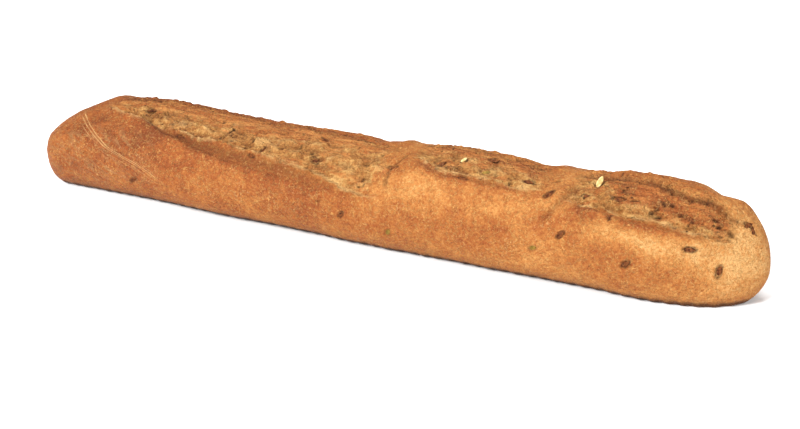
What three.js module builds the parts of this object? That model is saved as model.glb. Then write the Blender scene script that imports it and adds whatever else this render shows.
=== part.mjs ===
// Baguette: one whole hand-scored loaf, millimetres, +Z up.
// Long axis on X, underside flat on z = 0, front of the loaf towards -Y.
// Angles round the loaf run from 0 at the front, over 90 at the crown, to 180 at the back.
import * as THREE from 'three';

// Overall sizes of the loaf
const LENGTH = 380;
const WIDTH = 64;            // at mid length
const CROWN_HEIGHT = 42.7;   // top of the crust towards the left end
const CROWN_RISE = 4.3;      // how much higher the crown is at the right end
const WIDTH_LOSS = 8;        // how much narrower the right end is than the left
const BOW = 4.7;             // the middle lies this far in front of the ends

// Cross-section
const WIDEST_HEIGHT = 22;    // height of the widest line above the tray
const FLATTENING = 3.5;      // dough pressed flat by the tray
const FOOT_ROUNDING = 1.2;   // soft edge between the flat foot and the sides
const FULLNESS = 2.25;       // 2 is an ellipse, more is boxier

// Ends: the length over which each outline runs out, and how blunt it is
const LEFT_NOSE = { height: 19, plan: 20, crown: 62, foot: 15, bluntness: 2.1 };
const RIGHT_NOSE = { height: 16, plan: 54, crown: 24, foot: 33, bluntness: 1.65 };
const CROWN_BLUNTNESS = 1.95;
const NOSE_RUN = 70;         // over which the widest line dips to the nose

// Scores: three slanted cuts that opened in the oven
const SCORE_LEFT_MARGIN = 28;
const SCORE_RIGHT_MARGIN = 9;
const BRIDGE = 4;            // uncut crust between two scores
const BRIDGE_DIP = 1.3;      // the crown sinks at a bridge
const BRIDGE_DIP_RUN = 28;
const CROWN_LEAD = 9;        // the cuts slant, so they reach the crown this much further left
const SECOND_SCORE = 78;
const THIRD_SCORE = 82;
const LIP_HEIGHT = 1.6;      // raised edge of crust in front of the opening
const LIP_HALF_WIDTH = 6;    // degrees
const CREASE_DEPTH = 1.5;    // groove behind the lip
const CREASE_OFFSET = 11;    // degrees from the lip
const CREASE_HALF_WIDTH = 6.5;
const BACK_LIP_HEIGHT = 0.8;
const BACK_LIP_HALF_WIDTH = 9;
const SCORE_RUN_OUT = 0.14;  // part of each score over which it fades at an end

// Angles of each score's lip and back edge at its two ends, how its lip curls, and how much the
// crown swells in millimetres (or sags, below 0) over its middle
const FIRST_CUT = { lip: [78, 14], curl: 1.8, back: [98, 73], swell: -2.5 };
const SECOND_CUT = { lip: [76, 54], curl: 3, back: [98, 93], swell: 2.5 };
const THIRD_CUT = { lip: [50, 26], curl: 1, back: [92, 50], swell: 3.2 };

// Mesh fineness
const ALONG = 96;
const AROUND = 56;
const CROWDING = 0.4;        // draws the rings' points towards the scored side
const CROWDED_ANGLE = 65;

const CRUST = { color: 0xc88c55, roughness: 0.82, metalness: 0 };

const rad = THREE.MathUtils.degToRad;

// The three cuts, with where each begins and ends
function scores() {
  const thirdEnd = LENGTH / 2 - SCORE_RIGHT_MARGIN;
  const thirdStart = thirdEnd - THIRD_SCORE;
  const secondEnd = thirdStart - BRIDGE;
  const secondStart = secondEnd - SECOND_SCORE;
  const firstEnd = secondStart - BRIDGE;
  const firstStart = -LENGTH / 2 + SCORE_LEFT_MARGIN;
  return [
    { ...FIRST_CUT, start: firstStart, end: firstEnd },
    { ...SECOND_CUT, start: secondStart, end: secondEnd },
    { ...THIRD_CUT, start: thirdStart, end: thirdEnd },
  ];
}

// A rounded run-out: 0 at an end of the loaf, 1 once the run is passed
function runOut(distance, run, bluntness) {
  const left = 1 - THREE.MathUtils.clamp(distance / run, 0, 1);
  return Math.pow(Math.max(1 - Math.pow(left, bluntness), 0), 1 / bluntness);
}

// A round bump, 1 at its middle
function bump(place, middle, halfWidth) {
  return Math.exp(-(((place - middle) / halfWidth) ** 2));
}

// Cosine or sine drawn out to the fullness of the loaf's section
function full(value) {
  return Math.sign(value) * Math.pow(Math.abs(value), 2 / FULLNESS);
}

// Sizes of the cross-section at one place along the loaf
function section(x, cuts) {
  const fromLeft = x + LENGTH / 2;
  const fromRight = LENGTH / 2 - x;
  const halfWidth = (WIDTH / 2 - WIDTH_LOSS * (x / LENGTH))
    * runOut(fromLeft, LEFT_NOSE.plan, LEFT_NOSE.bluntness)
    * runOut(fromRight, RIGHT_NOSE.plan, RIGHT_NOSE.bluntness);
  const nose = x < 0 ? LEFT_NOSE.height : RIGHT_NOSE.height;
  const nearNose = Math.max(0, 1 - Math.min(fromLeft, fromRight) / NOSE_RUN);
  const widest = WIDEST_HEIGHT + (nose - WIDEST_HEIGHT) * nearNose;
  let crown = CROWN_HEIGHT + CROWN_RISE * (x / LENGTH + 0.5);
  for (const cut of cuts) {
    const share = (x + CROWN_LEAD - cut.start) / (cut.end - cut.start);
    crown += cut.swell * Math.sin(Math.PI * THREE.MathUtils.clamp(share, 0, 1));
  }
  for (const cut of cuts.slice(1)) {
    crown -= BRIDGE_DIP * bump(x, cut.start - BRIDGE / 2 - CROWN_LEAD, BRIDGE_DIP_RUN);
  }
  const above = (crown - widest)
    * runOut(fromLeft, LEFT_NOSE.crown, CROWN_BLUNTNESS)
    * runOut(fromRight, RIGHT_NOSE.crown, CROWN_BLUNTNESS);
  const below = (WIDEST_HEIGHT + FLATTENING)
    * runOut(fromLeft, LEFT_NOSE.foot, CROWN_BLUNTNESS)
    * runOut(fromRight, RIGHT_NOSE.foot, CROWN_BLUNTNESS);
  return { halfWidth, widest, above, below };
}

// How far the crust stands out of, or sinks into, the plain loaf at an opened score
function opening(x, angle, cuts) {
  let height = 0;
  for (const cut of cuts) {
    const share = (x - cut.start) / (cut.end - cut.start);
    if (share <= 0 || share >= 1) continue;
    const lip = cut.lip[1] + (cut.lip[0] - cut.lip[1]) * Math.pow(1 - share, cut.curl);
    const back = cut.back[0] + (cut.back[1] - cut.back[0]) * share;
    const fade = THREE.MathUtils.smoothstep(share, 0, SCORE_RUN_OUT)
      * THREE.MathUtils.smoothstep(1 - share, 0, SCORE_RUN_OUT);
    height += fade * LIP_HEIGHT * bump(angle, lip, LIP_HALF_WIDTH);
    height -= fade * CREASE_DEPTH * bump(angle, lip + CREASE_OFFSET, CREASE_HALF_WIDTH);
    height += fade * BACK_LIP_HEIGHT * bump(angle, back, BACK_LIP_HALF_WIDTH);
  }
  return height;
}

// The tray under the loaf: nothing goes below it, and the foot rounds into it
function restOnTray(z) {
  if (z <= -FOOT_ROUNDING) return 0;
  if (z >= FOOT_ROUNDING) return z;
  return (z + FOOT_ROUNDING) ** 2 / (4 * FOOT_ROUNDING);
}

// The loaf: a ball drawn out into the shape of the risen and scored dough
function loafGeometry() {
  const cuts = scores();
  const geometry = new THREE.SphereGeometry(1, AROUND, ALONG);
  geometry.rotateZ(Math.PI / 2);
  const points = geometry.attributes.position;
  for (let i = 0; i < points.count; i += 1) {
    const x = points.getX(i) * (LENGTH / 2);
    const even = Math.atan2(points.getZ(i), -points.getY(i));
    const turn = even - CROWDING * Math.sin(even - rad(CROWDED_ANGLE));
    const angle = THREE.MathUtils.euclideanModulo(THREE.MathUtils.radToDeg(turn), 360);
    const { halfWidth, widest, above, below } = section(x, cuts);
    const out = opening(x, angle, cuts);
    const up = Math.sin(turn);
    const bow = BOW * (1 - (2 * x / LENGTH) ** 2);
    const y = -(halfWidth * full(Math.cos(turn)) + out * Math.cos(turn)) - bow;
    const z = widest + (up > 0 ? above : below) * full(up) + out * up;
    points.setXYZ(i, x, y, restOnTray(z));
  }
  geometry.computeBoundingBox();
  const box = geometry.boundingBox;
  geometry.translate(-(box.min.x + box.max.x) / 2, -(box.min.y + box.max.y) / 2, -box.min.z);
  geometry.computeVertexNormals();
  return geometry;
}

const loaf = new THREE.Mesh(loafGeometry(), new THREE.MeshStandardMaterial(CRUST));
loaf.name = 'loaf';

const group = new THREE.Group();
group.name = 'baguette';
group.add(loaf);

export default group;
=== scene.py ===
import math
import random

import bmesh
import bpy
from mathutils import Matrix, Vector, noise


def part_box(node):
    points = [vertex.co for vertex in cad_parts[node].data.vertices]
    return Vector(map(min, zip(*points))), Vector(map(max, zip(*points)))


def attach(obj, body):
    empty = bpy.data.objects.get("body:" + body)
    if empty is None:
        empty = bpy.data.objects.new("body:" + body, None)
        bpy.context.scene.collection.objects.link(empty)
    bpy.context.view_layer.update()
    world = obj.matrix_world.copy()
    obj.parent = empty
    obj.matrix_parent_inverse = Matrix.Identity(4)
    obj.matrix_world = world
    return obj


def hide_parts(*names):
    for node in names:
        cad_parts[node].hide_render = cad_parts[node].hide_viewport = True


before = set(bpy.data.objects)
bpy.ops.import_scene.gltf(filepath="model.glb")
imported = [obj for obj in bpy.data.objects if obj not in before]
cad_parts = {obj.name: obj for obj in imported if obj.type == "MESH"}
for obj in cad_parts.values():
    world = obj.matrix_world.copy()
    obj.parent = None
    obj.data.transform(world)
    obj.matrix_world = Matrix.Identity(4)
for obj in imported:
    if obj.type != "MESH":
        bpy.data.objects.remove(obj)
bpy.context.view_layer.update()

# ---------------------------------------------------------------------------------------------
# Loaf: one piece of baked dough, crust and crumb grown together.
# Rolled by hand, slashed three times on the slant, and baked on a tray: the cuts tore open and
# show rough pale crumb between a raised front lip and a ragged back edge.
# ---------------------------------------------------------------------------------------------
MM = 0.001
loaf_low, loaf_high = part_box("loaf")
LENGTH = (loaf_high.x - loaf_low.x) / MM
WIDTH, WIDTH_LOSS, BOW = 64.0, 8.0, 4.7
CROWN_HEIGHT, CROWN_RISE = 42.7, 4.3
WIDEST_HEIGHT, FLATTENING, FOOT_ROUNDING = 22.0, 3.5, 1.2
FULLNESS = 2.25
LEFT_NOSE = dict(height=19.0, plan=20.0, crown=62.0, foot=15.0, bluntness=2.1)
RIGHT_NOSE = dict(height=16.0, plan=54.0, crown=24.0, foot=33.0, bluntness=1.65)
CROWN_BLUNTNESS = 1.95
NOSE_RUN = 70.0
BRIDGE_DIP, BRIDGE_DIP_RUN = 1.3, 28.0
CROWN_LEAD = 9.0       # the cuts slant, so they reach the crown this much further left
DEGREE = 0.56          # mm of crust under one degree, on the scored side

# Each score: where it starts and ends, how its crown swells, how high its lip and its back edge
# stand, how deep the valley and the crumb are, how far from its right end the lip and the crumb
# run out, how much painted shade, with some browning, its crease gets and how much of it is toasted.
# Then four drawn lines given as (mm along, degrees round): the raised lip, the torn edge of the crumb,
# the back edge, and the line above which the tear skinned over and browned.
SCORES = (
    dict(
        start=-162.0, end=17.0, swell=-2.5, lip_height=2.1, back_height=0.4, valley=1.9, crumb_depth=1.1,
        lip_run_out=62.0, crumb_run_out=17.0, crease_shade_and_browning=0.75, toasted=-0.22,
        lip=((-162, 88), (-126, 66), (-91, 42), (-56, 28), (-16, 17), (20, 12)),
        crumb=((-162, 90), (-141, 71), (-102, 61), (-51, 50), (-19, 36), (8, 19), (20, 18)),
        back=((-162, 104), (-140, 114), (-74, 116), (-36, 108), (20, 92)),
        skin=((-162, 88), (-126, 90), (-103, 88), (-74, 85), (-36, 80), (20, 78)),
    ),
    dict(
        start=19.0, end=96.0, swell=2.5, lip_height=1.0, back_height=0.4, valley=0.9, crumb_depth=1.5,
        lip_run_out=30.0, crumb_run_out=16.0, crease_shade_and_browning=0.40, toasted=-0.16,
        lip=((17, 78), (29, 67), (41, 55), (66, 51), (88, 54), (99, 60)),
        crumb=((17, 82), (29, 71), (41, 60), (66, 57), (88, 60), (99, 66)),
        back=((17, 104), (37, 108), (68, 104), (99, 96)),
        skin=((17, 92), (50, 88), (80, 78), (99, 76)),
    ),
    dict(
        start=98.0, end=182.0, swell=3.2, lip_height=2.8, back_height=1.8, valley=2.2, crumb_depth=1.8,
        lip_run_out=24.0, crumb_run_out=12.0, crease_shade_and_browning=0.16, toasted=-0.04,
        lip=((96, 50), (117, 40), (138, 34), (153, 31), (168, 27), (184, 27)),
        crumb=((96, 54), (117, 45), (138, 40), (153, 36), (168, 31), (184, 31)),
        back=((96, 98), (130, 92), (143, 86), (158, 79), (172, 68), (184, 62)),
        skin=((96, 86), (116, 78), (126, 58), (146, 50), (164, 43), (184, 38)),
    ),
)

# Lumps and hollows of the crown, where flaps of crust lifted and settled: mm along, half width
# and height in mm. They lie a little behind the top of the loaf.
CROWN_LUMPS = (
    (-184, 9, -0.7), (-166, 5, 1.3), (-148, 11, -0.9), (-74, 30, -0.4), (-4, 6, -1.2), (11, 3, 1.5),
    (52, 24, -0.6), (79, 6, -0.9), (90, 4, 0.9), (110, 9, -2.2), (165, 6, -1.9), (176, 4, 0.7),
)
CROWN_LUMPS_ANGLE, CROWN_LUMPS_REACH = 116, 30

# Seeds pressed into this crust: mm along, degrees round, turn from the loaf's length, size.
FLAX_LENGTH, FLAX_WIDTH, FLAX_THICKNESS = 4.8, 2.5, 1.0
FLAX_SEEDS = [
    (94, 58, 62, 1.25), (104, 14, 60, 1.0), (160, 20, 5, 1.05), (172, 4, 82, 1.05), (180, 63, 55, 0.95),
    (182, 60, 130, 0.85), (134, 0, 40, 0.95), (125, 36, 80, 0.7), (125, 60, 10, 1.15), (82, 71, 5, 1.0),
    (39, 73, 70, 0.9), (53, 55, 170, 0.95), (17, 60, 5, 1.0), (-131, 87, 0, 1.15), (-79, 68, 40, 0.75),
    (-53, 59, 80, 0.9), (-24, 56, 120, 1.2), (-57, 47, 150, 0.8), (-102, 58, 160, 0.95),
    (-122, 348, 30, 0.95), (-15, 5, 30, 0.5), (-3, 356, 60, 0.8), (-150, 78, 60, 0.8), (110, 60, 8, 0.85),
    (-44, 64, 20, 0.6), (-95, 78, 30, 0.6), (158, 48, 120, 0.7), (60, 92, 0, 0.9), (-28, 89, 160, 0.8),
]
KERNEL_LENGTH, KERNEL_WIDTH, KERNEL_THICKNESS = 8.6, 4.0, 2.0
KERNELS = [        # and how many degrees one end is raised from the crust
    (114, 79, 80, 0.82, 28), (48, 81, 70, 0.5, 10), (70, 196, 20, 0.9, 0), (-60, 172, 130, 0.85, 0),
]
PUMPKIN_LENGTH, PUMPKIN_WIDTH, PUMPKIN_THICKNESS = 10.0, 5.6, 1.8
PUMPKIN_SEEDS = [(62, 71, 12, 0.75), (21, 346, 70, 0.45), (92, 358, 20, 0.4), (-25, 186, 60, 0.9)]
BACK_SEEDS, BACK_SEED_ANGLES = 40, (132, 214)      # more flax, scattered over the back
draw = random.Random(7)
for _ in range(BACK_SEEDS):
    FLAX_SEEDS.append((draw.uniform(-165, 168), draw.uniform(*BACK_SEED_ANGLES), draw.uniform(0, 180),
                       draw.uniform(0.75, 1.1)))

# Bubbles that burst where the crumb tore open: mm along, degrees round, turn, length and width.
BUBBLES = [
    (-144, 88, 10, 3.6, 1.6), (-134, 72, 150, 4.2, 1.4), (-111, 72, 0, 1.8, 1.3), (-104, 77, 0, 1.6, 1.2),
    (-88, 91, 0, 1.8, 1.3), (-61, 68, 70, 3.0, 1.5), (-64, 80, 90, 2.2, 1.1), (-72, 63, 30, 1.8, 1.3),
    (3, 60, 140, 3.4, 1.3), (6, 34, 90, 3.4, 1.0), (73, 70, 0, 2.2, 1.1), (94, 78, 20, 3.0, 2.0),
    (132, 60, 12, 4.4, 1.3), (148, 62, 140, 2.2, 1.4), (153, 51, 30, 2.6, 1.5), (167, 53, 140, 4.2, 1.4),
    (174, 41, 120, 4.4, 2.2), (169, 45, 40, 2.6, 1.6), (162, 71, 150, 3.2, 0.9), (144, 47, 10, 2.6, 1.3),
]


def clamp(value, low=0.0, high=1.0):
    return max(low, min(high, value))


def ease(value):
    value = clamp(value)
    return value * value * (3 - 2 * value)


def bump(place, middle, half_width):
    return math.exp(-(((place - middle) / half_width) ** 2))


def run_out(distance, run, bluntness):
    left = 1 - clamp(distance / run)
    return max(1 - left ** bluntness, 0) ** (1 / bluntness)


def full(value):
    return math.copysign(abs(value) ** (2 / FULLNESS), value)


def drawn(points, x):
    """Height of a smooth line through a few points, at x."""
    if x <= points[0][0]:
        return points[0][1]
    for i in range(len(points) - 1):
        (x0, y0), (x1, y1) = points[i], points[i + 1]
        if x <= x1:
            before, after = points[max(i - 1, 0)], points[min(i + 2, len(points) - 1)]
            t = (x - x0) / (x1 - x0)
            lean0 = (y1 - before[1]) / (x1 - before[0]) * (x1 - x0)
            lean1 = (after[1] - y0) / (after[0] - x0) * (x1 - x0)
            return (
                (2 * t**3 - 3 * t**2 + 1) * y0 + (t**3 - 2 * t**2 + t) * lean0
                + (3 * t**2 - 2 * t**3) * y1 + (t**3 - t**2) * lean1
            )
    return points[-1][1]


ROUGH_RADIUS = 32.0     # mm, of the round loaf that the roughness is wrapped on


def rough(x, around, grain, stretch=1.0, layer=0.0, octaves=3):
    """Uneven dough, -1 to 1: grain is its size in mm, stretch draws it out along the loaf."""
    turn = math.radians(around)
    ring = ROUGH_RADIUS / grain
    spot = Vector((x / grain / stretch, -math.cos(turn) * ring, math.sin(turn) * ring + layer))
    return noise.fractal(spot, 0.6, 2.0, octaves)


def dough_section(x):
    """Half width, height of the widest line, and how far the loaf rises above and below it."""
    from_left, from_right = LENGTH / 2 + x, LENGTH / 2 - x
    half_width = (WIDTH / 2 - WIDTH_LOSS * x / LENGTH) * run_out(
        from_left, LEFT_NOSE["plan"], LEFT_NOSE["bluntness"]
    ) * run_out(from_right, RIGHT_NOSE["plan"], RIGHT_NOSE["bluntness"])
    nose = LEFT_NOSE["height"] if x < 0 else RIGHT_NOSE["height"]
    near_nose = max(0.0, 1 - min(from_left, from_right) / NOSE_RUN)
    widest = WIDEST_HEIGHT + (nose - WIDEST_HEIGHT) * near_nose
    crown = CROWN_HEIGHT + CROWN_RISE * (x / LENGTH + 0.5)
    for score in SCORES:
        share = clamp((x + CROWN_LEAD - score["start"]) / (score["end"] - score["start"]))
        crown += score["swell"] * math.sin(math.pi * share)
    for left, right in zip(SCORES, SCORES[1:]):
        bridge = (left["end"] + right["start"]) / 2 - CROWN_LEAD
        crown -= BRIDGE_DIP * bump(x, bridge, BRIDGE_DIP_RUN)
    above = (crown - widest) * run_out(from_left, LEFT_NOSE["crown"], CROWN_BLUNTNESS)
    above *= run_out(from_right, RIGHT_NOSE["crown"], CROWN_BLUNTNESS)
    below = (WIDEST_HEIGHT + FLATTENING) * run_out(from_left, LEFT_NOSE["foot"], CROWN_BLUNTNESS)
    below *= run_out(from_right, RIGHT_NOSE["foot"], CROWN_BLUNTNESS)
    return half_width, widest, above, below


CRUMB_LUMPS, CRUMB_GRAINS = 1.6, 0.4            # mm high
STRANDS_ACROSS, STRANDS_ALONG = 0.5, 0.6        # mm: threads of crumb drawn out as the cut tore


def torn_crumb(x, around, skin):
    """Height of the crumb inside a score; skin is 1 where it browned over."""
    lumps = CRUMB_LUMPS * rough(x, around, 7.0, 1.4, layer=5.0)
    lumps += CRUMB_GRAINS * rough(x, around, 2.4, 1.1, layer=8.0)
    strands_across = STRANDS_ACROSS * rough(x, around, 7.0, 0.28, layer=13.0)
    strands_along = STRANDS_ALONG * rough(x, around, 2.4, 6.0, layer=14.0)
    return (1 - 0.5 * skin) * lumps + (1 - skin) * strands_across + skin * strands_along


OPENING_FADES = (12, 9)                 # mm over which an opening fades in and runs out
LIP_FADE_IN, CRUMB_FADE_IN = 14, 9      # mm, the same at the left end of the lip and the crumb
RAGGED, RAGGED_FINE = 3.2, 1.5          # degrees the torn edges wander, coarse and fine
LIP_WAVE, LIP_UNEVEN = 1.8, 0.6         # degrees the lip wanders, and the share its height varies
LIP_SLOPES = (10.0, 2.9)                # degrees: the lip swells gently in front and drops behind
BACK_SLOPES = (5.0, 12.0)               # degrees: the back edge, before and behind its top
TORN_RIM_HEIGHT, BACK_FLAKES = 1.1, 1.2     # mm


def opened(x, around):
    """Height of the crust over the plain dough at the scores, and what shows there."""
    height = 0.0
    shown = dict(crumb=0.0, pale_rim_and_highlight=0.0, lip_bake=0.0, crease_shade_and_browning=0.0, skin=0.0, recess_shade=0.0)
    ragged = RAGGED * rough(x, around, 8.0, 1.5, layer=11.0)
    ragged += RAGGED_FINE * rough(x, around, 2.8, layer=12.0)
    for score in SCORES:
        from_start, from_end = x - score["start"], score["end"] - x
        if from_start <= 0 or from_end <= 0:
            continue
        fade = ease(from_start / OPENING_FADES[0]) * ease(from_end / OPENING_FADES[1])
        lip_fade = ease(from_start / LIP_FADE_IN) * ease(from_end / score["lip_run_out"])
        crumb_fade = ease((from_start + 0.6 * ragged) / CRUMB_FADE_IN)
        crumb_fade *= ease((from_end + 1.5 * ragged) / score["crumb_run_out"])
        wave = LIP_WAVE * rough(x, 40.0, 14.0, layer=3.0)
        lip_line, crumb_line = drawn(score["lip"], x), drawn(score["crumb"], x)
        from_lip = around - lip_line - wave
        from_crumb = around - crumb_line - wave - ragged
        from_back = around - drawn(score["back"], x) - 1.5 * ragged
        gap = max(crumb_line - lip_line, 4.0)
        uneven = 1 + LIP_UNEVEN * rough(x, 20.0, 12.0, layer=17.0)
        lip_slope = LIP_SLOPES[0] if from_lip < 0 else LIP_SLOPES[1]
        height += lip_fade * score["lip_height"] * uneven * bump(from_lip, 0, lip_slope)
        height -= lip_fade * score["valley"] * bump(from_lip, 0.5 * gap + 1.5, 0.42 * gap + 2.2)
        inside = ease(from_crumb / 2.5) * ease(-from_back / 7.0)
        across = clamp(from_crumb / max(from_crumb - from_back, 1.0))
        skin = ease((around - drawn(score["skin"], x) - 3.0 * ragged) / 10 + 0.5)
        toast = ease(1.6 * rough(x, around, 7.0, 2.0, layer=41.0) + score["toasted"])
        skin = max(skin, 0.9 * toast)
        height -= crumb_fade * inside * score["crumb_depth"] * (1 - across) ** 0.7
        if inside > 0:
            torn = torn_crumb(x, around, skin)
            height += crumb_fade * inside * torn
            # Painted shade in the crumb's hollows
            hollow = crumb_fade * inside * ease((-torn - 0.15) / 0.8)
            shown["crease_shade_and_browning"] = max(shown["crease_shade_and_browning"], 0.6 * hollow)
            # Painted highlight: the tops of the crumb's lumps are paled as if lit
            crest_highlight = crumb_fade * inside * (1 - skin) * ease((torn - 0.25) / 0.8)
            shown["pale_rim_and_highlight"] = max(shown["pale_rim_and_highlight"], 0.55 * crest_highlight)
        # The torn edge stands up as a rim and is paled: partly its own pale crumb, partly painted highlight
        pale_rim_and_highlight = crumb_fade * bump(from_crumb, 0.8, 2.6 if from_crumb > 0 else 1.6)
        height += TORN_RIM_HEIGHT * pale_rim_and_highlight
        shown["pale_rim_and_highlight"] = max(shown["pale_rim_and_highlight"], pale_rim_and_highlight)
        back_lip = bump(from_back, 0, BACK_SLOPES[0] if from_back < 0 else BACK_SLOPES[1])
        flakes = BACK_FLAKES * rough(x, around, 3.8, 1.3, layer=21.0)
        height += fade * back_lip * (score["back_height"] + flakes)
        # The crust dips under the back edge, and the crease mark paints shade into the dip
        under_back = bump(from_back, -6.0, 2.8)
        height -= 0.8 * fade * score["back_height"] * under_back
        shown["crumb"] = max(shown["crumb"], crumb_fade * inside)
        shown["skin"] = max(shown["skin"], crumb_fade * inside * skin)
        lips = 0.8 * lip_fade * bump(from_lip, 1.0, 6.0) + 0.5 * fade * bump(from_back, 4, 10.0)
        shown["lip_bake"] = max(shown["lip_bake"], lips)
        # The valley behind the lip: painted shade, with some browning
        valley = bump(from_lip, 0.5 * gap + 1.0, 0.32 * gap + 1.4) * (1 - 0.8 * inside)
        shown["crease_shade_and_browning"] = max(shown["crease_shade_and_browning"], lip_fade * score["crease_shade_and_browning"] * valley)
        shown["crease_shade_and_browning"] = max(shown["crease_shade_and_browning"], 0.5 * fade * score["back_height"] * under_back)
    return height, shown


CRACK_SPAN, FOLD_SPAN = (28, 86), (22, 76)      # degrees round
CRACK_PLACE, CRACK_WIDTH = 16.5, 0.9            # mm
FOLDS = ((96, 0.2, 32, 1.0), (111, -0.22, 34, 0.6))     # mm along, slant from an angle, depth


def bridged(x, around):
    """Fine crack across the first bridge of crust and folds across the second."""
    height = recess_shade = 0.0
    low, high = CRACK_SPAN
    if low < around < high:
        ends = ease((around - low) / 10) * ease((high - around) / 8)
        crack = CRACK_PLACE + 3.5 * ((around - 50) / 32) ** 2 + 0.8 * rough(x, around, 5.0, layer=51.0)
        groove = ends * bump(x, crack, CRACK_WIDTH)
        height += ends * 0.6 * bump(x, crack + 3.2, 3.0) - 0.8 * groove
        # Painted shade in the crack
        recess_shade = 0.5 * groove
    low, high = FOLD_SPAN
    if low < around < high:
        ends = ease((around - low) / 12) * ease((high - around) / 12)
        for place, slant, angle, deep in FOLDS:
            fold = place + slant * (around - angle)
            groove = ends * bump(x, fold + 0.9, 1.5)
            height += deep * (ends * 1.0 * bump(x, fold - 3.0, 3.2) - 0.9 * groove)
            # Painted shade in the folds' grooves
            recess_shade = max(recess_shade, 0.35 * deep * groove)
    return height, recess_shade


SHELF = 8.0             # dents are kept on shelves of so many mm of the loaf's length
BUBBLE_SPACING = 4.5    # mm of a score for each small bubble
DENT_RIM = 0.16         # mm the crust is pushed up round a dent
dents = {}


def dent(x, around, turned, length, width, depth, rim, bottom):
    """A dent to leave in the crust, with how much painted shade falls on its rim and in its bottom."""
    for shelf in range(int((x - SHELF) // SHELF), int((x + SHELF) // SHELF) + 1):
        dents.setdefault(shelf, []).append(
            (x, around, math.radians(turned), length / 2, width / 2, depth, rim, bottom)
        )


# rim and bottom: painted shade round each seed and in each burst bubble
for x, around, turned, size in FLAX_SEEDS:
    dent(x, around, turned, FLAX_LENGTH * size, FLAX_WIDTH * size, depth=0.5, rim=0.9, bottom=0.3)
for x, around, turned, size, _ in KERNELS:
    dent(x, around, turned, KERNEL_LENGTH * size, KERNEL_WIDTH * size, depth=0.5, rim=0.6, bottom=0.2)
for x, around, turned, size in PUMPKIN_SEEDS:
    dent(x, around, turned, PUMPKIN_LENGTH * size, PUMPKIN_WIDTH * size, depth=0.4, rim=0.5, bottom=0.2)
for score in SCORES:
    for _ in range(int((score["end"] - score["start"]) / BUBBLE_SPACING)):
        x = draw.uniform(score["start"] + 10, score["end"] - 8)
        torn, back_edge = drawn(score["crumb"], x), drawn(score["back"], x)
        around = torn + draw.uniform(0.05, 1.0) ** 1.6 * (back_edge - torn)
        BUBBLES.append((x, around, draw.uniform(0, 180), draw.uniform(1.2, 3.0), draw.uniform(0.9, 1.4)))
for x, around, turned, length, width in BUBBLES:
    dent(x, around, turned, length, width, depth=0.6 * width, rim=0.0, bottom=draw.uniform(0.6, 1.0))


def dented(x, around):
    """How deep the crust sank round seeds and burst bubbles here, and how much painted shade its rims and
    hollows get.
    """
    height = recess_shade = 0.0
    for mark in dents.get(int(x // SHELF), ()):
        along, angle, turn, half_length, half_width, depth, rim, bottom = mark
        across = ((around - angle + 180) % 360 - 180) * DEGREE
        if abs(across) > half_length + 3:
            continue
        lengthways = (x - along) * math.cos(turn) + across * math.sin(turn)
        crossways = across * math.cos(turn) - (x - along) * math.sin(turn)
        ring = math.hypot(lengthways / half_length, crossways / half_width)
        hollow = 1 - ease((ring - 0.65) / 0.75)
        height += DENT_RIM * bump(ring, 1.7, 0.35) - depth * hollow
        # Painted shade round the seeds' rims and in the dents' bottoms
        recess_shade = max(recess_shade, rim * bump(ring, 1.04, 0.24), bottom * hollow)
    return height, recess_shade


TRAY_PITCH, TRAY_DIMPLE = 5.5, 0.35     # mm: spacing and depth of the dimples a studded tray printed
ROW_SHARE = 0.866                       # their rows lie this share of the spacing apart


def tray_print(x, y):
    """1 in the middle of a dimple that the tray left in the foot, 0 away from it."""
    row = round(y / (TRAY_PITCH * ROW_SHARE))
    offset = 0.5 * TRAY_PITCH * (row % 2)
    column = round((x - offset) / TRAY_PITCH)
    away = math.hypot(x - offset - column * TRAY_PITCH, y - row * TRAY_PITCH * ROW_SHARE)
    return 1 - ease((away - 0.6) / 1.3)


CALM_TIP = 7            # mm at each tip over which the relief dies away
BIG_LUMPS, SMALL_LUMPS, BLISTERS = 0.65, 0.34, 0.13     # mm high
SCALLOP, SCALLOP_LENGTH = 0.5, 6.5      # mm: how far and how often the foot's edge waves in and out
PALE_FOOT = 7           # mm of paler crust above the tray


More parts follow.
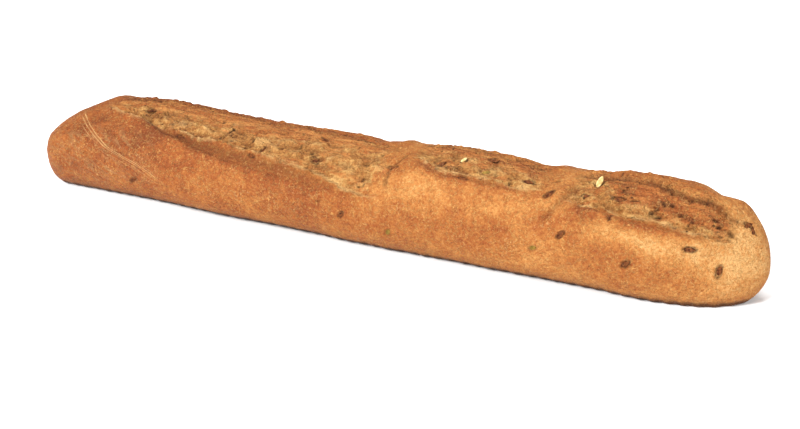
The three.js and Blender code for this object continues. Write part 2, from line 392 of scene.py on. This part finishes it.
def crust_point(x, around):
    """Place of the crust in mm, and the marks its finish needs."""
    half_width, widest, above, below = dough_section(x)
    turn = math.radians(around)
    flat, up = math.cos(turn), math.sin(turn)
    height, shown = opened(x, around)
    for extra, recess_shade in (bridged(x, around), dented(x, around)):
        height += extra
        shown["recess_shade"] = max(shown["recess_shade"], recess_shade)
    behind_top = bump(around, CROWN_LUMPS_ANGLE, CROWN_LUMPS_REACH)
    for along, reach, lump in CROWN_LUMPS:
        if abs(x - along) < 3 * reach:
            height += lump * bump(x, along, reach) * behind_top
    ends = ease((LENGTH / 2 - abs(x)) / CALM_TIP)
    lumps = BIG_LUMPS * rough(x, around, 34.0, 1.4, octaves=2)
    lumps += SMALL_LUMPS * rough(x, around, 11.0, 1.3, layer=2.0)
    blisters = BLISTERS * rough(x, around, 3.4, layer=15.0)
    height = ends * (height + lumps + blisters)
    bow = BOW * (1 - (2 * x / LENGTH) ** 2)
    y = -(half_width * full(flat) + height * flat) - bow
    z = widest + (above if up > 0 else below) * full(up) + height * up
    foot_wave = SCALLOP * math.sin(2 * math.pi * x / SCALLOP_LENGTH) * bump(z, 1.5, 2.5)
    y -= foot_wave * ends * flat
    # z is still that of the round dough here, so it tells how near the tray each spot was
    # Browned edge of the foot with painted contact shade, darkest where the dough met the tray
    shown["tray_edge_browning_and_shade"] = ease((z + 0.9) / 1.3) * (1 - ease((z - 1.6) / 3.0))
    shown["sole"] = ease((0.9 - z) / 1.8) if up < 0 else 0.0
    if z <= -FOOT_ROUNDING:
        z = 0.0
    elif z < FOOT_ROUNDING:
        z = (z + FOOT_ROUNDING) ** 2 / (4 * FOOT_ROUNDING)
    if z < TRAY_DIMPLE and up < 0:
        dimple = tray_print(x, y)
        z = max(z, TRAY_DIMPLE * dimple)
        shown["sole"] *= 1 - 0.6 * dimple
    shown["foot"] = 1 - ease((z - 0.5) / PALE_FOOT)
    return Vector((x, y, z)), shown


RINGS, SPOKES = 468, 212
NOSE_CROWDING = 0.08
CROWDING, CROWDED_ANGLE = 0.4, math.radians(65)


def place_on_ball(co):
    """Where a point of a unit ball with its poles on Z goes: mm along, degrees round, share."""
    share = math.acos(clamp(co.z, -1.0, 1.0)) / math.pi
    to_end = 1 - abs(2 * share - 1)
    crowded = math.hypot(to_end, NOSE_CROWDING) - NOSE_CROWDING
    crowded /= math.hypot(1, NOSE_CROWDING) - NOSE_CROWDING
    x = math.copysign((1 - crowded) * LENGTH / 2, share - 0.5)
    even = math.atan2(co.x, -co.y)
    turn = math.degrees(even - CROWDING * math.sin(even - CROWDED_ANGLE))
    return x, (turn + 90) % 360 - 90, share


def piece_from(bm, name, material):
    """A finished piece at the origin, smooth, with its finish."""
    mesh = bpy.data.meshes.new(name)
    bm.to_mesh(mesh)
    bm.free()
    mesh.materials.append(material)
    mesh.polygons.foreach_set("use_smooth", [True] * len(mesh.polygons))
    piece = bpy.data.objects.new(name, mesh)
    bpy.context.scene.collection.objects.link(piece)
    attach(piece, "root")
    return piece


# Dark-baked and light-baked patches of the crust: mm along, degrees round, reach along, reach
# round, and how much browner (or paler, below 0) the patch is.
BAKE_PATCHES = (
    (-158, 50, 14, 30, 0.16), (-140, 5, 30, 26, 0.10), (-118, 54, 32, 14, 0.20), (-80, 16, 26, 12, 0.05),
    (-128, 34, 20, 15, 0.16), (-40, 8, 40, 20, 0.08), (-110, 112, 60, 14, 0.08), (10, 350, 40, 16, 0.10),
    (36, 38, 22, 20, -0.12), (60, 5, 22, 14, 0.16), (38, 64, 20, 7, 0.12), (76, 30, 18, 20, -0.05),
    (50, 19, 9, 6, 0.16), (112, 38, 10, 8, 0.28), (108, 54, 10, 7, 0.10), (140, 33, 11, 6, 0.36),
    (152, 17, 18, 12, -0.32), (126, 3, 24, 14, 0.20), (150, 350, 30, 14, 0.12), (132, 16, 8, 8, 0.12),
    (178, 20, 12, 50, -0.26), (150, 100, 34, 14, 0.18), (-184, 40, 10, 80, -0.06),
    (100, 26, 12, 12, 0.26), (128, 20, 10, 9, -0.22), (27, 20, 16, 9, 0.04), (-110, 27, 18, 13, 0.12),
    (-6, 38, 12, 12, -0.24), (102, 44, 8, 14, -0.16), (-90, 100, 60, 9, 0.16),
)


def bake_tone(x, around):
    """How brown the crust is baked, 0 straw to 1 dark, before lips and grain."""
    tone = 0.53 - 0.00095 * x
    for along, angle, reach, spread, browner in BAKE_PATCHES:
        away = (around - angle + 180) % 360 - 180
        tone += browner * math.exp(-(((x - along) / reach) ** 2) - (away / spread) ** 2)
    if around > 130:
        tone += 0.10 * ease((around - 130) / 40) * rough(x, around, 30.0, layer=31.0)
    return clamp(tone + 0.10 * rough(x, around, 18.0, 1.5, layer=27.0))


# The line a scratch takes down the rounded end: degrees round, mm along
SCRATCH_LINE = ((-20, -90), (8, -121), (24, -139), (90, -178))

# What the finish has to know at each point: two measures, then shares from 0 to 1
MEASURES = ("around", "from_scratch")
SHARES = ("tone", "crumb", "skin", "pale_rim_and_highlight", "lip_bake", "crease_shade_and_browning", "recess_shade", "foot", "tray_edge_browning_and_shade", "sole")

loaf_bm = bmesh.new()
bmesh.ops.create_uvsphere(loaf_bm, u_segments=SPOKES, v_segments=RINGS, radius=1.0)
marks = {name: loaf_bm.verts.layers.float.new(name) for name in MEASURES + SHARES}
shares = {}
for vert in loaf_bm.verts:
    x, around, share = place_on_ball(vert.co)
    vert.co, shown = crust_point(x, around)
    shares[vert] = (share, around)
    shown["around"] = around
    shown["tone"] = bake_tone(x, around)
    shown["from_scratch"] = x - drawn(SCRATCH_LINE, around)
    for name, layer in marks.items():
        vert[layer] = shown[name] if name in MEASURES else clamp(shown[name])

# The dough was centred on its box in the frame; this loaf is set down on the same place
middle_y = (min(v.co.y for v in loaf_bm.verts) + max(v.co.y for v in loaf_bm.verts)) / 2
frame_y = (loaf_low.y + loaf_high.y) / 2 / MM
SET_DOWN = Vector((0.0, frame_y - middle_y, 0.0))
bmesh.ops.translate(loaf_bm, verts=loaf_bm.verts, vec=SET_DOWN)
bmesh.ops.scale(loaf_bm, verts=loaf_bm.verts, vec=(MM, MM, MM))
bmesh.ops.remove_doubles(loaf_bm, verts=loaf_bm.verts, dist=1e-7)
bmesh.ops.recalc_face_normals(loaf_bm, faces=loaf_bm.faces)

# Two unrolled strips, one above the other, one for each half of the loaf
sheet_uv = loaf_bm.loops.layers.uv.new("OFBake")
STRIP_EDGE, AT_POLE = 0.01, 0.0001
for face in loaf_bm.faces:
    spots = [shares[loop.vert] for loop in face.loops]
    half = 1 if sum(share for share, _ in spots) / len(spots) > 0.5 else 0
    turns = [around for _, around in spots]
    wraps = max(turns) - min(turns) > 180
    off_pole = [around for share, around in spots if AT_POLE < share < 1 - AT_POLE]
    for loop, (share, around) in zip(face.loops, spots):
        if not AT_POLE < share < 1 - AT_POLE:
            around = sum(off_pole) / len(off_pole)
        if wraps and around < 90:
            around += 360
        u = STRIP_EDGE + (1 - 2 * STRIP_EDGE) * clamp(2 * share - half)
        v = (around + 90) / 360
        loop[sheet_uv].uv = (u, 0.5 * half + STRIP_EDGE + (0.5 - 2 * STRIP_EDGE) * min(v, 1.0))


def colour(red, green, blue):
    """A colour as a painter's 0 to 255 values, made linear for the shader."""
    return tuple((c / 255) ** 2.2 for c in (red, green, blue)) + (1.0,)


class Finish:
    """A material with short calls to add and join its nodes."""

    def __init__(self, name, tree=None):
        if tree is None:
            self.material = bpy.data.materials.new(name)
            self.material.use_nodes = True
            tree = self.material.node_tree
            tree.nodes.clear()
            self.shader = tree.nodes.new("ShaderNodeBsdfPrincipled")
            output = tree.nodes.new("ShaderNodeOutputMaterial")
            tree.links.new(self.shader.outputs["BSDF"], output.inputs["Surface"])
        self.tree = tree

    def join(self, value, socket):
        if isinstance(value, bpy.types.NodeSocket):
            self.tree.links.new(value, socket)
        else:
            socket.default_value = value

    def place(self, scale=(1, 1, 1)):
        where = self.tree.nodes.new("ShaderNodeTexCoord").outputs["Object"]
        mapping = self.tree.nodes.new("ShaderNodeMapping")
        mapping.inputs["Scale"].default_value = scale
        self.join(where, mapping.inputs["Vector"])
        return mapping.outputs["Vector"]

    def mark(self, name):
        node = self.tree.nodes.new("ShaderNodeAttribute")
        node.attribute_name = name
        return node.outputs["Fac"]

    def grain(self, size, detail=3.0, scale=(1, 1, 1), distortion=0.0):
        """Cloudy grain, 0 to 1; size in metres."""
        node = self.tree.nodes.new("ShaderNodeTexNoise")
        node.inputs["Scale"].default_value = 1 / size
        node.inputs["Detail"].default_value = detail
        node.inputs["Distortion"].default_value = distortion
        self.join(self.place(scale), node.inputs["Vector"])
        return node.outputs["Fac"]

    def cells(self, size):
        """Distance to the middle of round cells, 0 at the middle; size in metres."""
        node = self.tree.nodes.new("ShaderNodeTexVoronoi")
        node.inputs["Scale"].default_value = 1 / size
        self.join(self.place(), node.inputs["Vector"])
        return node.outputs["Distance"]

    def sum(self, kind, first, second=0.0, third=None):
        node = self.tree.nodes.new("ShaderNodeMath")
        node.operation = kind
        self.join(first, node.inputs[0])
        self.join(second, node.inputs[1])
        if third is not None:
            self.join(third, node.inputs[2])
        return node.outputs[0]

    def between(self, value, low, high, out_low=0.0, out_high=1.0):
        node = self.tree.nodes.new("ShaderNodeMapRange")
        node.interpolation_type = "SMOOTHSTEP"
        ends = {"From Min": low, "From Max": high, "To Min": out_low, "To Max": out_high}
        for name, number in ends.items():
            node.inputs[name].default_value = number
        self.join(value, node.inputs["Value"])
        return node.outputs["Result"]

    def blend(self, amount, under, over):
        node = self.tree.nodes.new("ShaderNodeMix")
        node.data_type = "RGBA"
        self.join(amount, node.inputs[0])
        self.join(under, node.inputs[6])
        self.join(over, node.inputs[7])
        return node.outputs[2]

    def ramp(self, value, stops):
        node = self.tree.nodes.new("ShaderNodeValToRGB")
        while len(node.color_ramp.elements) < len(stops):
            node.color_ramp.elements.new(0.5)
        for element, (place, shade) in zip(node.color_ramp.elements, stops):
            element.position = place
            element.color = shade
        self.join(value, node.inputs["Fac"])
        return node.outputs["Color"]

    def relief(self, height, depth, strength=1.0, under=None):
        node = self.tree.nodes.new("ShaderNodeBump")
        node.inputs["Distance"].default_value = depth
        node.inputs["Strength"].default_value = strength
        self.join(height, node.inputs["Height"])
        if under is not None:
            self.join(under, node.inputs["Normal"])
        return node.outputs["Normal"]


def flour_dust():
    """Fine flour caught on high grains; crust and seeds share it."""
    tree = bpy.data.node_groups.new("flour_dust", "ShaderNodeTree")
    tree.interface.new_socket("Amount", in_out="INPUT", socket_type="NodeSocketFloat")
    tree.interface.new_socket("Mask", in_out="OUTPUT", socket_type="NodeSocketFloat")
    inside = Finish("flour_dust", tree)
    amount = tree.nodes.new("NodeGroupInput").outputs["Amount"]
    end = tree.nodes.new("NodeGroupOutput")
    speck = inside.between(inside.grain(0.0011, 2.0), 0.55, 0.72)
    cloud = inside.between(inside.grain(0.012, 3.0), 0.35, 0.7)
    dust = inside.sum("MULTIPLY", speck, inside.sum("MULTIPLY_ADD", cloud, 0.7, 0.3))
    inside.join(inside.sum("MULTIPLY", dust, amount), end.inputs["Mask"])
    return tree


flour_group = flour_dust()


def dusted(finish, amount):
    node = finish.tree.nodes.new("ShaderNodeGroup")
    node.node_tree = flour_group
    finish.join(amount, node.inputs["Amount"])
    return node.outputs["Mask"]


crust = Finish("baked_crust")
crumb_mark, lip_mark, crease_shade_mark = crust.mark("crumb"), crust.mark("lip_bake"), crust.mark("crease_shade_and_browning")
tone_mark, foot_mark, around_mark = crust.mark("tone"), crust.mark("foot"), crust.mark("around")
skin_mark, recess_shade_mark = crust.mark("skin"), crust.mark("recess_shade")

place = crust.tree.nodes.new("ShaderNodeSeparateXYZ")
crust.join(crust.place(), place.inputs[0])
along = crust.sum("MULTIPLY", place.outputs["X"], 1 / MM)

# Crust: browner where it stood proud or dried out, mottled at four grain sizes
mottle = crust.grain(0.010, 4.0, distortion=0.6)
blotch = crust.grain(0.004, 3.0, distortion=0.4)
speckle = crust.grain(0.0016, 3.0)
fine = crust.grain(0.0009, 2.0)
tone = crust.sum("MULTIPLY_ADD", lip_mark, 0.22, tone_mark)
for grain, share in ((mottle, 0.52), (blotch, 0.38), (speckle, 0.60), (fine, 0.62)):
    tone = crust.sum("ADD", tone, crust.sum("MULTIPLY_ADD", grain, share, -share / 2))
crust_stops = (
    (0.0, colour(190, 145, 92)), (0.28, colour(170, 115, 63)), (0.52, colour(149, 91, 46)),
    (0.74, colour(131, 71, 34)), (1.0, colour(104, 54, 26)),
)
crust_shade = crust.ramp(tone, crust_stops)

# Crumb: pale wheat, streaked along the tear, browned where it skinned over
crumb_streak = crust.grain(0.006, 4.0, scale=(0.6, 1, 1), distortion=0.4)
crumb_grain = crust.grain(0.0013, 3.0)
crumb_mix = crust.sum("MULTIPLY_ADD", crumb_grain, 0.40, crust.sum("MULTIPLY", crumb_streak, 0.60))
crumb_mix = crust.sum("MULTIPLY_ADD", tone_mark, -0.30, crust.sum("ADD", crumb_mix, 0.18))
crumb_shade = crust.ramp(crumb_mix, (
    (0.32, colour(84, 46, 22)), (0.42, colour(126, 80, 42)), (0.53, colour(150, 101, 54)),
    (0.66, colour(184, 140, 84)),
))
skin_streak = crust.grain(0.003, 4.0, scale=(0.22, 1, 1), distortion=0.3)
skin_tone = crust.sum("MULTIPLY_ADD", skin_streak, 1.3, crust.sum("MULTIPLY_ADD", speckle, 0.30, -0.36))
skin_tone = crust.sum("ADD", skin_tone, crust.sum("MULTIPLY_ADD", fine, 0.3, -0.09))
skin_tone = crust.sum("ADD", skin_tone, crust.between(along, 20.0, 120.0, 0.0, 0.20))
skin_shade = crust.ramp(skin_tone, (
    (0.0, colour(198, 148, 92)), (0.30, colour(180, 120, 66)), (0.55, colour(155, 92, 47)),
    (0.76, colour(130, 68, 34)), (1.0, colour(78, 38, 20)),
))
crumb_shade = crust.blend(crust.sum("MULTIPLY", skin_mark, 0.85), crumb_shade, skin_shade)
torn_edge = crust.sum("ADD", crumb_mark, crust.sum("MULTIPLY_ADD", crust.grain(0.0026, 3.0), 0.9, -0.45))
shade = crust.blend(crust.between(torn_edge, 0.25, 0.85), crust_shade, crumb_shade)
rim_breaks = crust.between(crust.grain(0.005, 3.0), 0.35, 0.6)
# Pale torn rim: partly the crumb's own pale colour, partly a painted highlight on the rim and on crests
pale_rim_and_highlight = crust.sum("MULTIPLY", crust.mark("pale_rim_and_highlight"), rim_breaks)
shade = crust.blend(crust.sum("MULTIPLY", pale_rim_and_highlight, 0.6), shade, colour(204, 164, 108))

# Pinholes of the crumb, a millimetre wide and far between: painted shade in dots, with a small dent of
# relief
pinhole = crust.between(crust.cells(0.0055), 0.07, 0.13, 1.0, 0.0)
pinhole = crust.sum("MULTIPLY", pinhole, crust.between(crust.grain(0.009, 2.0), 0.47, 0.56))
pinhole = crust.sum("MULTIPLY", pinhole, crust.between(crumb_mark, 0.3, 0.8))
# Painted shade inside the pinholes
shade = crust.blend(crust.sum("MULTIPLY", pinhole, 0.85), shade, colour(46, 22, 10))

# Fine pale wrinkles all over the skin
wrinkle = crust.sum("ABSOLUTE", crust.sum("SUBTRACT", crust.grain(0.0028, 3.0, distortion=0.5), 0.5))
wrinkle = crust.between(wrinkle, 0.0, 0.030, 1.0, 0.0)
wrinkle = crust.sum("MULTIPLY", wrinkle, crust.between(crust.grain(0.007, 2.0), 0.30, 0.5))
shade = crust.blend(crust.sum("MULTIPLY", wrinkle, 0.52), shade, colour(202, 150, 86))

# Painted shade, with some browning, in the crease behind each lip and in the crumb's hollows; the
# paler crust near the tray; painted shade in pits, grooves and round seeds; then the browned sole
# and its edge where it left the tray, darker with browning and painted contact shade
shade = crust.blend(crust.sum("MULTIPLY", crease_shade_mark, 0.72), shade, colour(80, 45, 22))
shade = crust.blend(crust.sum("MULTIPLY", foot_mark, 0.42), shade, colour(142, 90, 52))
# Painted shade in pits, grooves and round the seeds
shade = crust.blend(crust.sum("MULTIPLY", recess_shade_mark, 0.95), shade, colour(36, 18, 10))
sole_shade = crust.ramp(mottle, ((0.35, colour(84, 44, 22)), (0.65, colour(128, 76, 40))))
shade = crust.blend(crust.sum("MULTIPLY", crust.mark("sole"), 0.8), shade, sole_shade)
# Darker edge of the foot: browning with painted contact shade under the loaf
shade = crust.blend(crust.sum("MULTIPLY", crust.mark("tray_edge_browning_and_shade"), 0.85), shade, colour(60, 30, 14))

# Dull smear of flour on the rounded end, brushed along the scratches
from_scratch = crust.mark("from_scratch")
down_slant = crust.sum("MULTIPLY_ADD", around_mark, -0.5, along)
brushed = crust.tree.nodes.new("ShaderNodeCombineXYZ")
crust.join(crust.sum("MULTIPLY", from_scratch, 0.24), brushed.inputs[0])
crust.join(crust.sum("MULTIPLY", down_slant, 0.07), brushed.inputs[1])
brush = crust.tree.nodes.new("ShaderNodeTexNoise")
brush.inputs["Scale"].default_value = 1.0
brush.inputs["Detail"].default_value = 6.0
brush.inputs["Distortion"].default_value = 0.7
crust.join(brushed.outputs[0], brush.inputs["Vector"])
end_smear = crust.sum(
    "MULTIPLY", crust.between(along, -182.0, -166.0), crust.between(along, -136.0, -100.0, 1.0, 0.0)
)
end_smear = crust.sum("MULTIPLY", end_smear, crust.between(around_mark, -40.0, -5.0))
end_smear = crust.sum("MULTIPLY", end_smear, crust.between(around_mark, 34.0, 62.0, 1.0, 0.0))
smear = crust.sum("MULTIPLY", end_smear, crust.between(brush.outputs["Fac"], 0.44, 0.66))
shade = crust.blend(crust.sum("MULTIPLY", smear, 0.62), shade, colour(138, 98, 62))

# Scratches: a bent pair right across the smear and shorter ones beside it. Each has its distance
# from the first, where along the loaf it starts and ends, and how plain it is.
wander = crust.sum("MULTIPLY_ADD", crust.grain(0.020, 2.0), 1.6, -0.8)
wandering = crust.sum("ADD", from_scratch, wander)
scratch = 0.0
for line, starts, ends, strength in (
    (0.0, -168.0, -103.0, 1.0), (-2.4, -166.0, -106.0, 0.9), (-5.4, -162.0, -146.0, 0.7),
    (2.6, -124.0, -106.0, 0.5), (-9.0, -136.0, -114.0, 0.45), (-6.2, -126.0, -104.0, 0.5),
):
    away = crust.sum("ABSOLUTE", crust.sum("SUBTRACT", wandering, line))
    stroke = crust.between(away, 0.10, 0.72, strength, 0.0)
    stroke = crust.sum("MULTIPLY", stroke, crust.between(along, starts - 3, starts + 5))
    stroke = crust.sum("MULTIPLY", stroke, crust.between(along, ends - 8, ends + 3, 1.0, 0.0))
    scratch = crust.sum("MAXIMUM", scratch, stroke)
scratch = crust.sum("MULTIPLY", scratch, crust.between(crust.grain(0.006, 2.0), 0.35, 0.6, 0.45, 1.0))
flour = crust.sum("MAXIMUM", crust.sum("MULTIPLY", scratch, 0.85), dusted(crust, 0.40))
shade = crust.blend(flour, shade, colour(192, 150, 98))
crust.join(shade, crust.shader.inputs["Base Color"])
crust.join(crust.between(tone, 0.1, 1.0, 0.84, 0.60), crust.shader.inputs["Roughness"])
crust.shader.inputs["Specular IOR Level"].default_value = 0.16

# Relief: fine blisters on the crust, coarser grain in the crumb
skin_relief = crust.sum("MULTIPLY_ADD", speckle, 0.6, crust.sum("MULTIPLY_ADD", wrinkle, 0.3, fine))
relief = crust.relief(skin_relief, depth=0.0009)
crumb_relief = crust.sum("MULTIPLY_ADD", crumb_grain, 0.7, skin_streak)
crumb_relief = crust.sum("MULTIPLY", crumb_mark, crumb_relief)
crumb_relief = crust.sum("MULTIPLY_ADD", pinhole, -0.5, crumb_relief)
relief = crust.relief(crumb_relief, depth=0.0018, under=relief)
crust.join(relief, crust.shader.inputs["Normal"])

loaf = piece_from(loaf_bm, "scored_loaf", crust.material)
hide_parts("loaf")

# ---------------------------------------------------------------------------------------------
# Flax seeds: small flat drops with a hard brown hull.
# Sprinkled on the damp dough before baking, so each lies sunk in a dent of the crust.
# ---------------------------------------------------------------------------------------------
FLAX_SUNK, FLAX_POINT = 0.28, 0.55      # share of the thickness in the dough; how pointed


STEP_ALONG, STEP_ROUND = 3.0, 5.0       # mm and degrees to the spots that the seat's slope is taken from


def crust_seat(x, around):
    """A spot on the crust with its own axes: along, round and outwards."""
    here = crust_point(x, around)[0]
    ahead = crust_point(x + STEP_ALONG, around)[0] - crust_point(x - STEP_ALONG, around)[0]
    upward = crust_point(x, around + STEP_ROUND)[0] - crust_point(x, around - STEP_ROUND)[0]
    out = upward.cross(ahead).normalized()
    if out.dot(Vector((0, -math.cos(math.radians(around)), math.sin(math.radians(around))))) < 0:
        out = -out
    ahead = (ahead - out * ahead.dot(out)).normalized()
    return here + SET_DOWN, ahead, out.cross(ahead), out


SEED_SPOKES, SEED_RINGS = 16, 10
SEED_NARROWING, SEED_THINNING = 1.6, 0.4    # how sharply it comes to its point; thinner at the ends
SEED_BEDDING = 0.1      # mm deeper, so that no gap shows under it
SEED_HINGE = 0.4        # share of its length from its middle to where a raised seed turns


def press_in(bm, x, around, turned, size, seed_length, seed_width, thickness, sunk, point, raised=0):
    """One seed: a flattened ball drawn to a point at one end, laid on the crust or raised from it."""
    here, ahead, side, out = crust_seat(x, around)
    rim = bm.verts.layers.float.get("rim") or bm.verts.layers.float.new("rim")
    verts = bmesh.ops.create_uvsphere(bm, u_segments=SEED_SPOKES, v_segments=SEED_RINGS, radius=1.0)["verts"]
    for vert in verts:
        vert[rim] = 1 - abs(vert.co.y)
        along_seed = vert.co.z
        narrow = 1 - point * max(along_seed, 0) ** SEED_NARROWING
        flat = Vector((along_seed * seed_length / 2, vert.co.x * seed_width / 2 * narrow,
                       vert.co.y * thickness / 2 * (1 - SEED_THINNING * abs(along_seed))))
        vert.co = flat * size
    turn = math.radians(turned)
    lengthways = ahead * math.cos(turn) + side * math.sin(turn)
    crossways = out.cross(lengthways)
    lean = math.radians(raised)
    lengthways, face = (lengthways * math.cos(lean) + out * math.sin(lean),
                        out * math.cos(lean) - lengthways * math.sin(lean))
    seat = Matrix((lengthways, crossways, face)).transposed().to_4x4()
    lift = thickness * (0.5 - sunk) + SEED_HINGE * seed_length * math.sin(lean)
    seat.translation = here + out * (lift * size - SEED_BEDDING)
    bmesh.ops.transform(bm, matrix=Matrix.Scale(MM, 4) @ seat, verts=verts)


flax_bm = bmesh.new()
for x, around, turned, size in FLAX_SEEDS:
    press_in(flax_bm, x, around, turned, size, FLAX_LENGTH, FLAX_WIDTH, FLAX_THICKNESS, FLAX_SUNK,
             FLAX_POINT)
bmesh.ops.recalc_face_normals(flax_bm, faces=flax_bm.faces)


def seed_skin(name, mottling, shades, rim, rim_shade, roughness, specular, blisters, dust=0.0):
    """Skin of a seed: mottled, darker round its rim, floury where dust is given.
    Mottling is a grain's size and detail, blisters a grain's size and their depth, in metres."""
    skin = Finish(name)
    shade = skin.ramp(skin.grain(*mottling), shades)
    shade = skin.blend(skin.between(skin.mark("rim"), *rim), shade, rim_shade)
    if dust:
        shade = skin.blend(dusted(skin, dust), shade, colour(176, 132, 92))
    skin.join(shade, skin.shader.inputs["Base Color"])
    worn, *gloss = roughness
    skin.join(skin.between(skin.grain(worn, 2.0), 0.3, 0.7, *gloss), skin.shader.inputs["Roughness"])
    skin.shader.inputs["Specular IOR Level"].default_value = specular
    size, depth = blisters
    skin.join(skin.relief(skin.grain(size, 2.0), depth, 0.4), skin.shader.inputs["Normal"])
    return skin.material


flax_skin = seed_skin(
    "flax_skin", mottling=(0.0012, 2.0), shades=((0.35, colour(60, 31, 17)), (0.65, colour(112, 66, 37))),
    rim=(0.5, 0.9), rim_shade=colour(34, 16, 9), roughness=(0.0008, 0.5, 0.7), specular=0.08,
    blisters=(0.0006, 0.0002), dust=0.2,
)
piece_from(flax_bm, "flax_seeds", flax_skin)

# ---------------------------------------------------------------------------------------------
# Sunflower kernels: hulled, cream and drop-shaped, baked hard.
# They stuck to the damp dough; two stand proud where a score opened under them.
# ---------------------------------------------------------------------------------------------
KERNEL_SUNK, KERNEL_POINT = 0.35, 0.4
kernel_bm = bmesh.new()
for x, around, turned, size, raised in KERNELS:
    press_in(kernel_bm, x, around, turned, size, KERNEL_LENGTH, KERNEL_WIDTH, KERNEL_THICKNESS,
             KERNEL_SUNK, KERNEL_POINT, raised)
bmesh.ops.recalc_face_normals(kernel_bm, faces=kernel_bm.faces)
kernel_skin = seed_skin(
    "kernel_skin", mottling=(0.0018, 3.0), shades=(
        (0.3, colour(158, 124, 72)), (0.5, colour(192, 166, 110)), (0.7, colour(214, 194, 142)),
    ),
    rim=(0.5, 0.95), rim_shade=colour(96, 62, 30), roughness=(0.001, 0.45, 0.65), specular=0.12,
    blisters=(0.0009, 0.0003),
)
piece_from(kernel_bm, "sunflower_kernels", kernel_skin)

# ---------------------------------------------------------------------------------------------
# Pumpkin seeds: hulled and flat, their green browned by the oven.
# Baked into the dough, so that only one face of each shows.
# ---------------------------------------------------------------------------------------------
PUMPKIN_SUNK, PUMPKIN_POINT = 0.45, 0.35
pumpkin_bm = bmesh.new()
for x, around, turned, size in PUMPKIN_SEEDS:
    press_in(pumpkin_bm, x, around, turned, size, PUMPKIN_LENGTH, PUMPKIN_WIDTH, PUMPKIN_THICKNESS,
             PUMPKIN_SUNK, PUMPKIN_POINT)
bmesh.ops.recalc_face_normals(pumpkin_bm, faces=pumpkin_bm.faces)
pumpkin_skin = seed_skin(
    "pumpkin_skin", mottling=(0.0022, 3.0), shades=(
        (0.35, colour(76, 56, 22)), (0.52, colour(110, 86, 38)), (0.68, colour(146, 118, 58)),
    ),
    rim=(0.4, 0.9), rim_shade=colour(48, 32, 14), roughness=(0.001, 0.45, 0.6), specular=0.08,
    blisters=(0.0012, 0.0003),
)
piece_from(pumpkin_bm, "pumpkin_seeds", pumpkin_skin)

# ---------------------------------------------------------------------------------------------
# Table, light and camera: a white table top in a bright room, with a soft key light high in front
# and weaker ones from the right and from above.
# ---------------------------------------------------------------------------------------------
TABLE_REACH, TABLE_GAP = 6.0, 0.0002        # m
table_bm = bmesh.new()
bmesh.ops.create_grid(table_bm, x_segments=2, y_segments=2, size=TABLE_REACH)
bmesh.ops.translate(table_bm, verts=table_bm.verts, vec=(0, 0, -TABLE_GAP))
table_mesh = bpy.data.meshes.new("table_top")
table_bm.to_mesh(table_mesh)
table_bm.free()
paint = Finish("white_table")
whites = ((0.4, (0.93, 0.93, 0.93, 1)), (0.6, (0.95, 0.95, 0.95, 1)))
paint.join(paint.ramp(paint.grain(0.05, 2.0), whites), paint.shader.inputs["Base Color"])
paint.shader.inputs["Roughness"].default_value = 0.9
table_mesh.materials.append(paint.material)
table_top = bpy.data.objects.new("table_top", table_mesh)
bpy.context.scene.collection.objects.link(table_top)

ROOM_LIGHT = 0.36
world = bpy.data.worlds.new("studio")
world.use_nodes = True
world.node_tree.nodes["Background"].inputs["Color"].default_value = (1.0, 1.0, 1.0, 1.0)
world.node_tree.nodes["Background"].inputs["Strength"].default_value = ROOM_LIGHT
bpy.context.scene.world = world


def soft_light(name, place, size, power):
    lamp = bpy.data.lights.new(name, "AREA")
    lamp.shape = "DISK"
    lamp.size = size
    lamp.energy = power
    light = bpy.data.objects.new(name, lamp)
    light.location = place
    light.rotation_mode = "QUATERNION"
    light.rotation_quaternion = (-Vector(place)).to_track_quat("-Z", "Y")
    bpy.context.scene.collection.objects.link(light)


soft_light("key", (-0.45, -1.35, 1.05), 0.45, 45.0)
soft_light("side", (1.3, -0.5, 0.7), 0.8, 13.0)
soft_light("top", (-0.2, 0.3, 1.4), 0.8, 15.0)

CAMERA_TURN, CAMERA_RISE = math.radians(26.05), math.radians(24.0)
CAMERA_DISTANCE, LENS, SENSOR = 0.6444, 63.0, 36.0
AIM = Vector((0.0273, -0.0336, 0.025))
loaf_middle = (Vector(loaf_low) + Vector(loaf_high)) / 2
aim = Vector((loaf_middle.x, loaf_middle.y, 0.0)) + AIM
back = Vector((math.sin(CAMERA_TURN) * math.cos(CAMERA_RISE),
               -math.cos(CAMERA_TURN) * math.cos(CAMERA_RISE), math.sin(CAMERA_RISE)))
lens = bpy.data.cameras.new("camera")
lens.lens, lens.sensor_width = LENS, SENSOR
lens.clip_start, lens.clip_end = 0.01, 50.0
camera = bpy.data.objects.new("camera", lens)
camera.location = aim + back * CAMERA_DISTANCE
camera.rotation_mode = "QUATERNION"
camera.rotation_quaternion = (-back).to_track_quat("-Z", "Y")
bpy.context.scene.collection.objects.link(camera)
bpy.context.scene.camera = camera
bpy.context.scene.view_settings.view_transform = "Standard"
